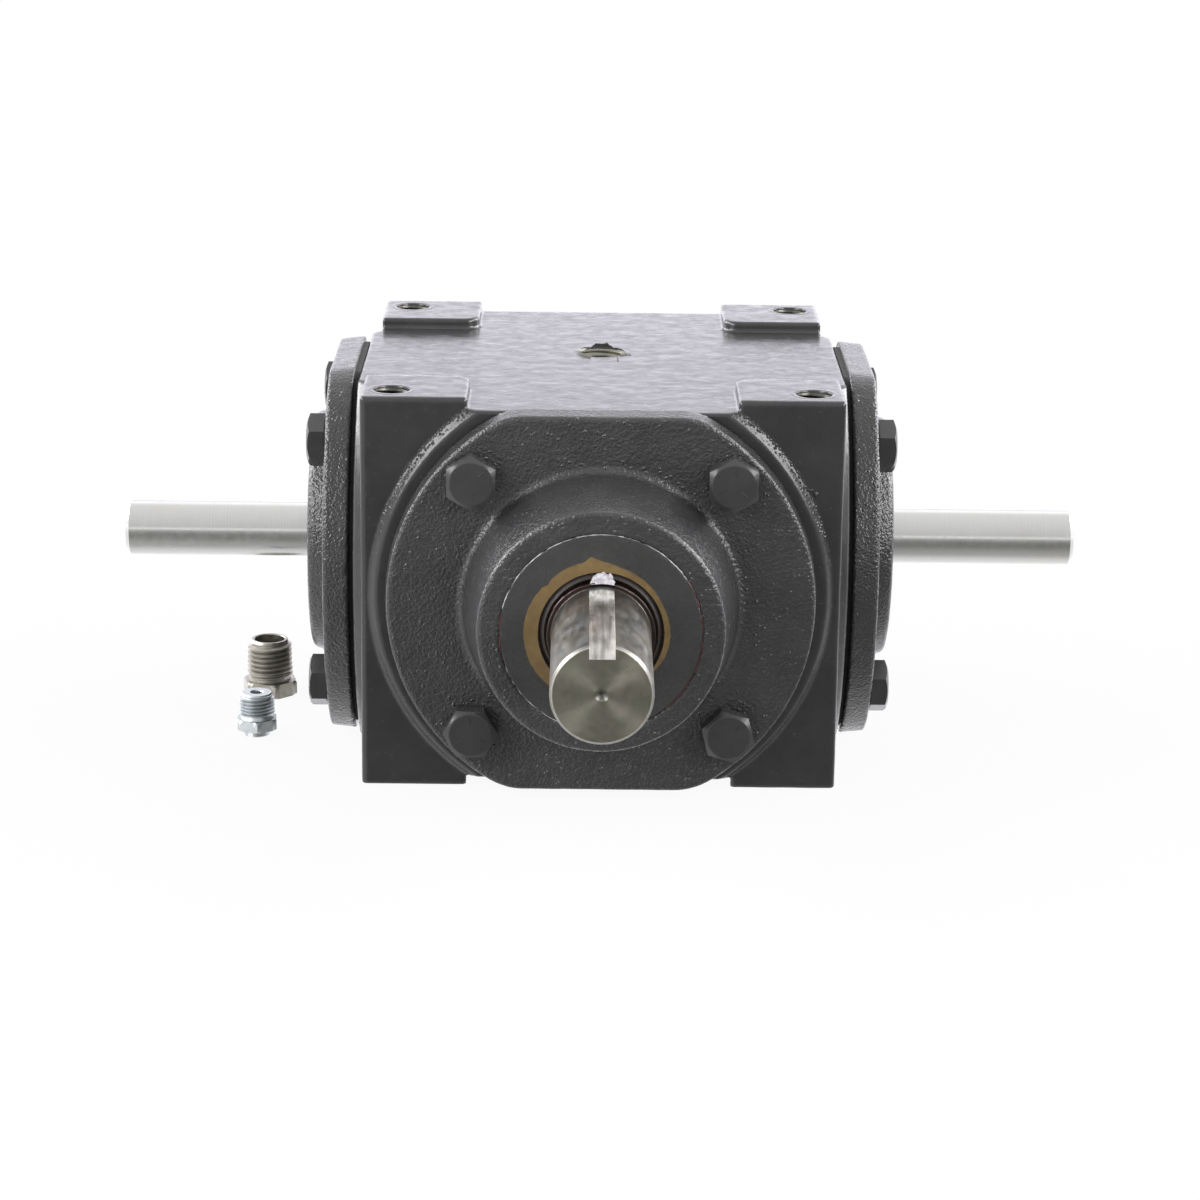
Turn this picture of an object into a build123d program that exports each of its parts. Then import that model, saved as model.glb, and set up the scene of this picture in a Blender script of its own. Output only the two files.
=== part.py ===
from build123d import *
from math import atan, cos, degrees, pi, radians, sin, sqrt, tan
import os

# Right-angle bevel gearbox. Millimetres. The origin is the centre of the foot-bolt pattern on the base
# plane, +X points out of the right end of the through shaft, -Y out of the slow shaft, +Z up.
INCH = 25.4
CLEARANCE = 0.02          # radial gap of a located fit
ROLLING_GAP = 0.03        # gap between a roller and its race

# Housing
WIDTH = 5.0 * INCH
DEPTH = 5.25 * INCH
HEIGHT = 4.1875 * INCH
AXIS_HEIGHT = HEIGHT / 2
PAD_SIZE = 28.0
PAD_STEP = 3.0
PAD_INNER_RADIUS = 4.5
CASTING_RADIUS = 1.1
CAVITY_HALF = (50.0, 53.0, 43.2)
CAVITY_CORNER = 20.0
OPENING_RADIUS = 40.5
BOSS_RADIUS = 59.5
BOSS_FOOT_RADIUS = 61.4
FOOT_SPACING = (4.375 * INCH, 4.5 * INCH)
FOOT_THREAD_RADIUS = 0.375 * INCH / 2
FOOT_THREAD_DEPTH = 16.0
FOOT_COUNTERSINK = 0.5
FOOT_DRILL_RADIUS = 0.3125 * INCH / 2
PORT_RADIUS = 0.54 * INCH / 2
PORT_BOSS_RADIUS = 11.0
PORT_DEPTH = 10.9
TOP_PORT_PLACE = (0.0, 8.0)

# Covers, heights measured from the crossing of the shaft axes outwards
FRONT_FACE = DEPTH / 2
SIDE_FACE = WIDTH / 2
BOSS_STEP = {FRONT_FACE: 1.9, SIDE_FACE: 2.55}
SHIM_THICKNESS = 1.4
SHIM_RADIUS = 54.0
FLANGE_RADIUS = 56.9
FLANGE_THICKNESS = {FRONT_FACE: 7.0, SIDE_FACE: 7.05}
FLANGE_FLAT = AXIS_HEIGHT - 1.8
FLANGE_CORNER_RADIUS = 18.0
FLANGE_DRAFT = 6.0
FLANGE_EDGE_RADIUS = 0.9
FRONT_NOSE_BASE_RADIUS = 36.2
FRONT_NOSE_TIP_RADIUS = 1.25 * INCH
FRONT_NOSE_HEIGHT = 4.0 * INCH
FRONT_NOSE_ROUNDING = (2.4, 1.0)
SIDE_BOSS_BASE_RADIUS = 35.0
SIDE_BOSS_TIP_RADIUS = 33.0
SIDE_BOSS_HEIGHT = 80.4
SIDE_BOSS_ROUNDING = (0.8, 2.0)
PILOT_RADIUS = OPENING_RADIUS - 0.05
PILOT_LENGTH = 12.0
CUP_SHOULDER = 3.4
BEARING_TUBE_RADIUS = 31.0

# Cover bolts, 5/16 inch
BOLT_OFFSET = 33.95
BOLT_RADIUS = 3.9
BOLT_HOLE_RADIUS = 4.37
BOLT_THREAD_RADIUS = 5 / 16 * INCH / 2
BOLT_THREAD_DEPTH = 13.6
BOLT_LENGTH = 0.75 * INCH
BOLT_FLATS = 0.5 * INCH
BOLT_HEAD_HEIGHT = 5.2
BOLT_HEAD_CHAMFER = 1.1
BOLT_FACE_HEIGHT = 0.4
FRONT_BOLT_TURNS = {(-1, 1): 0, (1, 1): 0, (-1, -1): 30, (1, -1): 14}

# Front, slow shaft
FRONT_SHAFT_RADIUS = 1.0 * INCH / 2
FRONT_SHAFT_END = 6.0625 * INCH
FRONT_SHAFT_START = 12.7
FRONT_SEAT_RADIUS = 14.0
FRONT_SEAT_START = 36.17
FRONT_SEAT_END = 103.8
FRONT_KEYWAY_FLOOR_START = 110.0
FRONT_KEYWAY_CUTTER_RADIUS = 9.0
FRONT_KEY_SIZE = 0.25 * INCH
FRONT_KEYWAY_FLOOR = 8.9
RING_THICKNESS = 1.2
RING_GROOVE_DEPTH = 0.8
RING_REACH = 2.6

# Side, fast shaft
SIDE_END_RADIUS = 0.625 * INCH / 2
SIDE_SHAFT_END = 5.25 * INCH
SIDE_SEAT_RADIUS = 0.6875 * INCH / 2
SIDE_SEAT_END = 72.8
SIDE_JOURNAL_RADIUS = SIDE_END_RADIUS + 0.2
SIDE_JOURNAL_END = 81.5
SIDE_SHOULDER_RADIUS = 10.2
SIDE_SHOULDER_END = 57.9
SIDE_KEY_SIZE = 3 / 16 * INCH
SIDE_KEYWAY_FLOOR = 6.13

# Bevel pair
GEAR_TEETH = 38
PINION_TEETH = 19
MODULE = 2.0
PRESSURE_ANGLE = radians(20)
FACE_WIDTH = 13.0
ADDENDUM = 1.0 * MODULE
DEDENDUM = 1.25 * MODULE
TOOTH_THINNING = 0.09
FLANK_STEPS = 4
GEAR_INNER_DEPTH = 4.0
PINION_INNER_DEPTH = 3.4
GEAR_BACK = 36.15
PINION_BACK = 46.0

# Tapered roller bearings. circle is the radius of the ring of rollers; rollers and cage are the heights,
# from the back of the cone, that the rollers and the cage span.
FRONT_BEARING = dict(
    bore=FRONT_SEAT_RADIUS, outer=26.0, width=16.0, cup=12.0, cone=15.4,
    circle=20.1, roller=2.8, count=17, rollers=(2.4, 13.8), cage=(1.4, 14.6),
)
SIDE_BEARING = dict(
    bore=SIDE_SEAT_RADIUS, outer=19.939, width=13.843, cup=10.668, cone=13.4,
    circle=14.4, roller=2.6, count=13, rollers=(2.2, 12.2), cage=(1.2, 13.0),
)
ROLLER_TILT = radians(12)
ROLLER_END_GAP = 0.75
CAGE_HALF_THICKNESS = 0.6
FRONT_INNER_BEARING = 36.2
FRONT_OUTER_BEARING = 93.2
SIDE_BEARING_START = 57.96

# Seals
FRONT_SEAL = dict(outer=26.0, opening=16.0, shaft=FRONT_SEAT_RADIUS, start=94.7, end=101.55)
SIDE_SEAL = dict(outer=14.29, opening=9.6, shaft=SIDE_JOURNAL_RADIUS, start=74.1, end=80.35)

# Loose breather fittings that stand on the floor beside the left side of the housing
BUSHING_PLACE = (-95.3, 15.0)
BUSHING_TURN = 14.4
VENT_PLACE = (-95.5, -24.2)
VENT_TURN = 5.6
BUSHING_FLATS = 0.5625 * INCH
BUSHING_HEX_HEIGHT = 4.2
BUSHING_HEIGHT = 16.3
BUSHING_BORE_RADIUS = 4.35
VENT_FLATS = 10.8
VENT_CAP_HEIGHT = 1.9
VENT_CAP_RADIUS = 3.8
VENT_HEX_TOP = 5.0
VENT_HEIGHT = 12.3
VENT_BORE_RADIUS = 1.6
VENT_SLOT_PLACE = (-1.6, 0)
VENT_SLOT_WIDTH = 1.4
NPT_HALF_TAPER = 1 / 32

CENTRE = (0, 0, AXIS_HEIGHT)
FRONT = Plane(origin=CENTRE, x_dir=(1, 0, 0), z_dir=(0, -1, 0)).location
RIGHT = Plane(origin=CENTRE, x_dir=(0, 1, 0), z_dir=(1, 0, 0)).location
LEFT = Plane(origin=CENTRE, x_dir=(0, -1, 0), z_dir=(-1, 0, 0)).location
FLIP = Rot(180, 0, 0)
UP = (Align.CENTER, Align.CENTER, Align.MIN)
CORNERS = [(-1, 1), (1, 1), (-1, -1), (1, -1)]


def turned(points):
    """A body of revolution about Z. Each point is radius, height and, where given, a corner radius."""
    corners = [(point[0], point[1]) for point in points]
    radii = [point[2] if len(point) > 2 else 0 for point in points]
    outline = FilletPolyline(*corners, radius=radii, close=True)
    return revolve(Plane.XZ * make_face(outline), Axis.Z)


def disc(radius, low, high):
    return Pos(0, 0, low) * Cylinder(radius, high - low, align=UP)


def ring(inner, outer, low, high):
    return disc(outer, low, high) - disc(inner, low - 1, high + 1)


def prism(flats, low, high):
    """A hexagonal prism of the given size across flats."""
    hexagon = RegularPolygon(flats / 2, 6, major_radius=False)
    return Pos(0, 0, low) * extrude(hexagon, high - low)


def around(shape, count):
    """Copies of a shape, evenly spaced about Z."""
    return [Rot(0, 0, 360 * step / count) * shape for step in range(count)]


def bolt_circle(shape):
    return [Pos(sx * BOLT_OFFSET, sy * BOLT_OFFSET, 0) * shape for sx, sy in CORNERS]


def save(name, shape):
    export_step(shape, "parts/" + name + ".step")


def housing_core():
    """The cast block with its raised corner pads, before the openings are cut."""
    block = Pos(0, 0, PAD_STEP) * Box(WIDTH, DEPTH, HEIGHT - 2 * PAD_STEP, align=UP)
    block = fillet(block.edges().filter_by(Axis.Z), CASTING_RADIUS)
    outline = Rectangle(PAD_SIZE, PAD_SIZE, align=(Align.MAX, Align.MAX))
    outer_corner = outline.vertices().sort_by_distance((0, 0, 0))[0]
    outline = fillet(outer_corner, CASTING_RADIUS)
    inner_corner = outline.vertices().sort_by_distance((-PAD_SIZE, -PAD_SIZE, 0))[0]
    outline = fillet(inner_corner, PAD_INNER_RADIUS)
    pad = extrude(outline, PAD_STEP)
    pad = fillet(pad.faces().sort_by(Axis.Z)[-1].edges(), 0.7)
    quarter = Pos(WIDTH / 2, DEPTH / 2, HEIGHT - PAD_STEP) * pad
    top_pads = [quarter, mirror(quarter, Plane.YZ)]
    top_pads += [mirror(item, Plane.XZ) for item in top_pads]
    middle = Plane(origin=CENTRE, z_dir=(0, 0, 1))
    bottom_pads = [mirror(item, middle) for item in top_pads]
    return block + top_pads + bottom_pads


def face_boss(face):
    """The raised round seat that a cover is bolted to, cut flush with the recessed top and bottom."""
    body = turned([
        (0, face - 2),
        (BOSS_FOOT_RADIUS, face - 2),
        (BOSS_FOOT_RADIUS, face),
        (BOSS_RADIUS, face + BOSS_STEP[face], 0.7),
        (0, face + BOSS_STEP[face]),
    ])
    return body & Box(WIDTH, HEIGHT - 2 * PAD_STEP, 4 * face)


def cavity():
    half_x, half_y, half_z = CAVITY_HALF
    plan = RectangleRounded(2 * half_x, 2 * half_y, CAVITY_CORNER)
    room = Pos(0, 0, AXIS_HEIGHT - half_z) * extrude(plan, 2 * half_z)
    return fillet(room.faces().filter_by(Axis.Z).edges(), 4.0)


def foot_holes():
    """A hole drilled through each corner, tapped and countersunk at the top and at the bottom."""
    tapped = turned([
        (0, 1),
        (FOOT_THREAD_RADIUS + FOOT_COUNTERSINK + 1, 1),
        (FOOT_THREAD_RADIUS, -FOOT_COUNTERSINK),
        (FOOT_THREAD_RADIUS, -FOOT_THREAD_DEPTH),
        (FOOT_DRILL_RADIUS, -FOOT_THREAD_DEPTH - 0.8),
        (0, -FOOT_THREAD_DEPTH - 0.8),
    ])
    drilled = disc(FOOT_DRILL_RADIUS, 1, HEIGHT - 1)
    holes = []
    for sx, sy in CORNERS:
        corner = Pos(sx * FOOT_SPACING[0] / 2, sy * FOOT_SPACING[1] / 2, 0)
        holes += [corner * Pos(0, 0, HEIGHT) * tapped, corner * FLIP * tapped, corner * drilled]
    return holes


def housing():
    body = housing_core()
    body += [FRONT * face_boss(FRONT_FACE), RIGHT * face_boss(SIDE_FACE), LEFT * face_boss(SIDE_FACE)]
    body -= cavity()
    room = CAVITY_HALF[2]
    port_boss = disc(PORT_BOSS_RADIUS, room - 4, room + 4)
    over_port = Pos(*TOP_PORT_PLACE, 0)
    body += [over_port * Pos(*CENTRE) * port_boss, Pos(*CENTRE) * FLIP * port_boss]
    front_cut = disc(OPENING_RADIUS, 30, FRONT_FACE + 5)
    side_cut = disc(OPENING_RADIUS, 30, SIDE_FACE + 5)
    body -= [FRONT * front_cut, RIGHT * side_cut, LEFT * side_cut]
    front_seat = FRONT_FACE + BOSS_STEP[FRONT_FACE]
    side_seat = SIDE_FACE + BOSS_STEP[SIDE_FACE]
    for side, seat in ((FRONT, front_seat), (RIGHT, side_seat), (LEFT, side_seat)):
        thread = disc(BOLT_THREAD_RADIUS, seat - BOLT_THREAD_DEPTH, seat + 1)
        body -= [side * hole for hole in bolt_circle(thread)]
    body -= foot_holes()
    port = over_port * disc(PORT_RADIUS, HEIGHT - PAD_STEP - PORT_DEPTH, HEIGHT)
    drain = disc(PORT_RADIUS, -1, PAD_STEP + PORT_DEPTH)
    level = FRONT * disc(PORT_RADIUS, -FRONT_FACE - 1, -FRONT_FACE + 20)
    return body - [port, drain, level]


def flange(face):
    """Round cover flange with a flat at the top and bottom and a drafted, rounded rim."""
    inner = face + BOSS_STEP[face] + SHIM_THICKNESS
    outline = Circle(FLANGE_RADIUS) & Rectangle(3 * FLANGE_RADIUS, 2 * FLANGE_FLAT)
    outline = fillet(outline.vertices(), FLANGE_CORNER_RADIUS)
    plate = Pos(0, 0, inner) * extrude(outline, FLANGE_THICKNESS[face], taper=FLANGE_DRAFT)
    outer_edges = plate.faces().sort_by(Axis.Z)[-1].edges()
    return fillet(outer_edges, FLANGE_EDGE_RADIUS)


def cover(face, base_radius, tip_radius, tip_height, rounding, bores):
    """A bearing cover: flange, tapered nose, pilot in the housing and a stepped bore."""
    inner = face + BOSS_STEP[face] + SHIM_THICKNESS
    outer = inner + FLANGE_THICKNESS[face]
    root, edge = rounding
    nose = turned([
        (0, inner),
        (base_radius + 8, inner),
        (base_radius + 8, outer),
        (base_radius, outer, root),
        (tip_radius, tip_height, edge),
        (0, tip_height),
    ])
    body = flange(face) + nose + disc(PILOT_RADIUS, face - PILOT_LENGTH, inner)
    body -= bolt_circle(disc(BOLT_HOLE_RADIUS, inner - 1, outer + 1))
    return body - [disc(radius, low, high) for radius, low, high in bores]


def front_cover():
    cup_seat = FRONT_BEARING["outer"] + CLEARANCE
    inner_stop = FRONT_INNER_BEARING + FRONT_BEARING["width"]
    outer_stop = FRONT_OUTER_BEARING - FRONT_BEARING["width"]
    start = FRONT_FACE - PILOT_LENGTH
    tube_end = FRONT_INNER_BEARING + 2.3
    bores = [
        (cup_seat, tube_end - 1, inner_stop),
        (cup_seat - CUP_SHOULDER, inner_stop - 1, outer_stop + 1),
        (cup_seat, outer_stop, FRONT_SEAL["start"]),
        (FRONT_SEAL["outer"] + CLEARANCE, FRONT_SEAL["start"] - 0.1, FRONT_NOSE_HEIGHT + 1),
    ]
    nose = (FRONT_NOSE_BASE_RADIUS, FRONT_NOSE_TIP_RADIUS, FRONT_NOSE_HEIGHT, FRONT_NOSE_ROUNDING)
    body = cover(FRONT_FACE, *nose, bores)
    tube = ring(cup_seat - CUP_SHOULDER, BEARING_TUBE_RADIUS, tube_end, start)
    tube -= disc(cup_seat, tube_end - 1, inner_stop)
    return body + tube


def side_cover():
    cup_seat = SIDE_BEARING["outer"] + CLEARANCE
    stop = SIDE_BEARING_START + SIDE_BEARING["width"]
    bores = [
        (cup_seat, 0, stop),
        (13.0, stop - 1, SIDE_SEAL["start"] + 1),
        (SIDE_SEAL["outer"] + CLEARANCE, SIDE_SEAL["start"] - 0.1, SIDE_BOSS_HEIGHT + 1),
    ]
    boss = (SIDE_BOSS_BASE_RADIUS, SIDE_BOSS_TIP_RADIUS, SIDE_BOSS_HEIGHT, SIDE_BOSS_ROUNDING)
    body = cover(SIDE_FACE, *boss, bores)
    return body - ring(25.5, 35.5, SIDE_FACE - PILOT_LENGTH - 1, SIDE_FACE)


def shims(face):
    seat = face + BOSS_STEP[face]
    flat = Box(3 * SHIM_RADIUS, 2 * (FLANGE_FLAT - 1.4), 4 * face)
    plate = ring(OPENING_RADIUS + 0.2, SHIM_RADIUS, seat, seat + SHIM_THICKNESS) & flat
    return plate - bolt_circle(disc(BOLT_HOLE_RADIUS, seat - 1, seat + SHIM_THICKNESS + 1))


def bolt():
    """A hexagon bolt with its bearing face at height 0 and its shank below."""
    corner = BOLT_FLATS / sqrt(3)
    crown = turned([
        (0, BOLT_FACE_HEIGHT),
        (corner + 1, BOLT_FACE_HEIGHT),
        (corner + 1, BOLT_HEAD_HEIGHT - BOLT_HEAD_CHAMFER - 0.3),
        (BOLT_FLATS / 2 - 0.7, BOLT_HEAD_HEIGHT, 0.8),
        (0, BOLT_HEAD_HEIGHT),
    ])
    head = prism(BOLT_FLATS, BOLT_FACE_HEIGHT, BOLT_HEAD_HEIGHT) & crown
    head += disc(BOLT_FLATS / 2 - 0.3, 0, BOLT_FACE_HEIGHT)
    return head + disc(BOLT_RADIUS, -BOLT_LENGTH, 0)


def cover_bolts(face, turns):
    """The four bolts of one cover; turns gives each head's angle by its corner."""
    seat = face + BOSS_STEP[face] + SHIM_THICKNESS + FLANGE_THICKNESS[face]
    shape = bolt()
    bolts = []
    for sx, sy in CORNERS:
        angle = turns.get((sx, sy), 0) + 30
        bolts.append(Pos(sx * BOLT_OFFSET, sy * BOLT_OFFSET, seat) * Rot(0, 0, angle) * shape)
    return bolts


def seal_case(outer, opening, shaft, start, end):
    wall = outer - 1.1
    return turned([
        (outer, start),
        (outer, end, 0.4),
        (opening, end, 0.3),
        (opening, end - 1.0),
        (wall, end - 1.0),
        (wall, start),
    ])


def seal_lip(outer, opening, shaft, start, end):
    """The rubber part of an oil seal: bonded foot, sealing lip inside and dust lip outside."""
    back = end - 1.05
    reach = shaft + CLEARANCE
    foot = opening + (outer - opening) * 0.4
    return turned([
        (foot, back),
        (foot, back - 1.0),
        (opening + 0.4, back - 1.2),
        (opening - 0.2, start + 1.0),
        (reach + 0.55, start + 0.8),
        (reach, start + 2.0),
        (reach + 0.8, back - 1.0),
        (reach + 0.1, end - 0.7),
        (reach + 0.6, end - 0.4),
        (opening - 0.15, back),
    ])


def seal_spring(outer, opening, shaft, start, end):
    wire = 0.6
    return Pos(0, 0, start + 1.6) * Torus(opening + wire + 0.15, wire)


def race_line(bearing, side):
    """Height of the rolling apex and slope of the outer (side 1) or inner (side -1) race."""
    middle = sum(bearing["rollers"]) / 2
    apex = middle + bearing["circle"] / tan(ROLLER_TILT)
    half_angle = atan(bearing["roller"] * sin(ROLLER_TILT) / bearing["circle"])
    return apex, tan(ROLLER_TILT + side * half_angle)


def bearing_cup(bearing):
    apex, slope = race_line(bearing, 1)
    low = bearing["width"] - bearing["cup"]
    high = bearing["width"]
    return turned([
        (bearing["outer"], low, 0.6),
        (bearing["outer"], high, 0.8),
        ((apex - high) * slope + ROLLING_GAP, high),
        ((apex - low) * slope + ROLLING_GAP, low),
    ])


def bearing_cone(bearing):
    apex, slope = race_line(bearing, -1)
    low = bearing["rollers"][0] - 0.1
    high = bearing["rollers"][1] + 0.1
    width = bearing["cone"]
    low_race = (apex - low) * slope - ROLLING_GAP
    high_race = (apex - high) * slope - ROLLING_GAP
    bore = bearing["bore"] + CLEARANCE
    return turned([
        (bore, 0, 0.5),
        (low_race + 1.4, 0, 0.5),
        (low_race + 1.2, low),
        (low_race, low),
        (high_race, high),
        (high_race + 0.6, high),
        (high_race + 0.6, width, 0.3),
        (bore, width, 0.3),
    ])


def bearing_roller(bearing, extra=0.0):
    """One tapered roller in its place; extra enlarges it to cut a cage pocket."""
    middle = sum(bearing["rollers"]) / 2
    apex_distance = bearing["circle"] / sin(ROLLER_TILT)
    taper = bearing["roller"] / apex_distance
    low, high = bearing["rollers"]
    half_length = (high - low) / 2 / cos(ROLLER_TILT) - ROLLER_END_GAP + extra
    large = bearing["roller"] + half_length * taper + extra
    small = bearing["roller"] - half_length * taper + extra
    roller = Cone(large, small, 2 * half_length)
    return Pos(bearing["circle"], 0, middle) * Rot(0, -degrees(ROLLER_TILT), 0) * roller


def bearing_rollers(bearing):
    return around(bearing_roller(bearing), bearing["count"])


def bearing_cage(bearing):
    apex, slope = race_line(bearing, 0)
    low, high = bearing["cage"]
    low_radius = (apex - low) * slope
    high_radius = (apex - high) * slope
    band = turned([
        (low_radius - CAGE_HALF_THICKNESS, low),
        (low_radius + CAGE_HALF_THICKNESS, low),
        (high_radius + CAGE_HALF_THICKNESS, high),
        (high_radius - CAGE_HALF_THICKNESS, high),
    ])
    return band - around(bearing_roller(bearing, 0.2), bearing["count"])


def flank_points(teeth, mate):
    """Half a bevel tooth at its large end: distance from the axis, height from the apex and angle."""
    cone = atan(teeth / mate)
    pitch_radius = MODULE * teeth / 2
    virtual_pitch = pitch_radius / cos(cone)
    virtual_base = virtual_pitch * cos(PRESSURE_ANGLE)
    half_thickness = (pi * MODULE / 2 - TOOTH_THINNING) / 2 / virtual_pitch
    involute = tan(PRESSURE_ANGLE) - PRESSURE_ANGLE
    start = max(virtual_base, virtual_pitch - DEDENDUM)
    end = virtual_pitch + ADDENDUM
    radii = [start + (end - start) * step / FLANK_STEPS for step in range(FLANK_STEPS + 1)]
    if start > virtual_pitch - DEDENDUM:
        radii.insert(0, virtual_pitch - DEDENDUM)
    points = []
    for radius in radii:
        tangent = sqrt(max((radius / virtual_base) ** 2 - 1, 0))
        angle = half_thickness + involute - (tangent - atan(tangent))
        height = pitch_radius / tan(cone) - (radius - virtual_pitch) * sin(cone)
        points.append((radius * cos(cone), height, angle / cos(cone)))
    return points


def tooth_ring(teeth, mate, height):
    """The outline of every tooth in a plane at the given height from the apex."""
    flank = flank_points(teeth, mate)
    outline = []
    for tooth in range(teeth):
        centre = 2 * pi * tooth / teeth
        rising = [(radius, level, centre - angle) for radius, level, angle in flank]
        falling = [(radius, level, centre + angle) for radius, level, angle in reversed(flank)]
        for radius, level, angle in rising + falling:
            reach = radius * height / level
            outline.append((reach * cos(angle), reach * sin(angle), height))
    return make_face(Polyline(*outline, close=True))


def toothed(blank, teeth, mate, low, high):
    """The blank cut to teeth that all run to the apex of the pitch cone."""
    sections = [tooth_ring(teeth, mate, low), tooth_ring(teeth, mate, high)]
    return blank & loft(sections, ruled=True)


def blank_corners(teeth, mate):
    """Tips of a bevel blank at its small and large end, and the direction of its back cone."""
    cone = atan(teeth / mate)
    pitch_radius = MODULE * teeth / 2
    shrink = 1 - FACE_WIDTH * sin(cone) / pitch_radius
    large = (pitch_radius + ADDENDUM * cos(cone), pitch_radius / tan(cone) - ADDENDUM * sin(cone))
    small = (large[0] * shrink, large[1] * shrink)
    return small, large, (-cos(cone), sin(cone))


def slide_down(point, direction, distance):
    return (point[0] + direction[0] * distance, point[1] + direction[1] * distance)


def gear_inner_corner(teeth, mate, depth):
    """Where the small-end cone of a bevel blank meets its flat inner face."""
    small, large, down = blank_corners(teeth, mate)
    return slide_down(small, down, depth)


def gear_ring_start():
    face = gear_inner_corner(GEAR_TEETH, PINION_TEETH, GEAR_INNER_DEPTH)[1]
    return face - RING_THICKNESS - 0.05


def large_bevel_gear():
    small, large, down = blank_corners(GEAR_TEETH, PINION_TEETH)
    inner = gear_inner_corner(GEAR_TEETH, PINION_TEETH, GEAR_INNER_DEPTH)
    back = slide_down(large, down, 10.5)
    bore = FRONT_SHAFT_RADIUS + CLEARANCE
    blank = turned([
        (bore, inner[1]),
        inner,
        small,
        large,
        back,
        (21.0, back[1], 2.0),
        (17.5, back[1] + 3.5, 1.0),
        (17.5, GEAR_BACK, 0.8),
        (bore, GEAR_BACK),
    ])
    gear = toothed(blank, GEAR_TEETH, PINION_TEETH, small[1] - 1, 2 * large[1] + 4)
    slot_width = FRONT_KEY_SIZE + CLEARANCE
    slot_height = FRONT_KEYWAY_FLOOR + FRONT_KEY_SIZE + 2 * CLEARANCE
    slot = Box(slot_width, slot_height, 60, align=(Align.CENTER, Align.MIN, Align.MIN))
    return gear - slot


def bevel_pinion():
    small, large, down = blank_corners(PINION_TEETH, GEAR_TEETH)
    inner = gear_inner_corner(PINION_TEETH, GEAR_TEETH, PINION_INNER_DEPTH)
    back = slide_down(large, down, 7.2)
    bore = SIDE_SEAT_RADIUS + CLEARANCE
    blank = turned([
        (bore, inner[1]),
        inner,
        small,
        large,
        back,
        (13.5, back[1], 0.6),
        (13.5, PINION_BACK, 0.6),
        (bore, PINION_BACK),
    ])
    gear = toothed(blank, PINION_TEETH, GEAR_TEETH, small[1] - 2, 1.6 * large[1])
    slot_width = SIDE_KEY_SIZE + CLEARANCE
    slot_height = SIDE_KEYWAY_FLOOR + SIDE_KEY_SIZE + 2 * CLEARANCE
    slot = Box(slot_width, slot_height, 60, align=(Align.CENTER, Align.MIN, Align.MIN))
    return gear - slot


def key(size, floor, low, high):
    bar = Box(size - CLEARANCE, size, high - low, align=(Align.CENTER, Align.MIN, Align.MIN))
    return Pos(0, floor + CLEARANCE, low) * chamfer(bar.edges(), 0.3)


def sled_runner_slot():
    """The open keyway of the slow shaft; the cutter left an arc that runs out to the surface."""
    size = FRONT_KEY_SIZE
    top = FRONT_SHAFT_RADIUS + 2
    cutter = FRONT_KEYWAY_CUTTER_RADIUS
    floor_start = FRONT_KEYWAY_FLOOR_START
    length = FRONT_SHAFT_END + 5 - floor_start
    straight = Box(size, top - FRONT_KEYWAY_FLOOR, length, align=(Align.CENTER, Align.MIN, Align.MIN))
    run_out = Rot(0, 90, 0) * Cylinder(cutter, size)
    trim = Box(size, top - FRONT_KEYWAY_FLOOR, cutter, align=(Align.CENTER, Align.MIN, Align.MAX))
    arc = Pos(0, cutter, 0) * run_out & trim
    return Pos(0, FRONT_KEYWAY_FLOOR, floor_start) * (straight + arc)


def retaining_ring(shaft_radius, low):
    """An external retaining ring with its gap and two lugs."""
    inner = shaft_radius - RING_GROOVE_DEPTH + CLEARANCE
    outer = shaft_radius + RING_REACH
    body = ring(inner, outer, low, low + RING_THICKNESS)
    gap = Box(3.0, 3 * outer, 3 * RING_THICKNESS, align=(Align.CENTER, Align.MAX, Align.CENTER))
    body -= Pos(0, 0, low) * gap
    places = [Pos(side * 3.4, -shaft_radius - 2.1, 0) for side in (-1, 1)]
    body += [place * disc(1.7, low, low + RING_THICKNESS) for place in places]
    return body - [place * disc(0.7, low - 1, low + 3) for place in places]


def front_shaft():
    radius = FRONT_SHAFT_RADIUS
    seat = FRONT_SEAT_RADIUS
    inner_groove = gear_ring_start() - 0.05
    outer_groove = FRONT_OUTER_BEARING
    wide = RING_THICKNESS + 0.1
    body = turned([
        (0, FRONT_SHAFT_START),
        (radius - 0.5, FRONT_SHAFT_START),
        (radius, FRONT_SHAFT_START + 0.5),
        (radius, inner_groove),
        (radius - RING_GROOVE_DEPTH, inner_groove),
        (radius - RING_GROOVE_DEPTH, inner_groove + wide),
        (radius, inner_groove + wide),
        (radius, FRONT_SEAT_START),
        (seat, FRONT_SEAT_START),
        (seat, outer_groove),
        (seat - RING_GROOVE_DEPTH, outer_groove),
        (seat - RING_GROOVE_DEPTH, outer_groove + wide),
        (seat, outer_groove + wide),
        (seat, FRONT_SEAT_END, 0.4),
        (radius, FRONT_SEAT_END, 0.3),
        (radius, FRONT_SHAFT_END - 0.8),
        (radius - 0.8, FRONT_SHAFT_END),
        (1.7, FRONT_SHAFT_END),
        (0, FRONT_SHAFT_END - 2.0),
    ])
    inner_slot = Box(FRONT_KEY_SIZE, FRONT_KEY_SIZE, 40, align=(Align.CENTER, Align.MIN, Align.MAX))
    return body - [sled_runner_slot(), Pos(0, FRONT_KEYWAY_FLOOR, GEAR_BACK - 1) * inner_slot]


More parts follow.
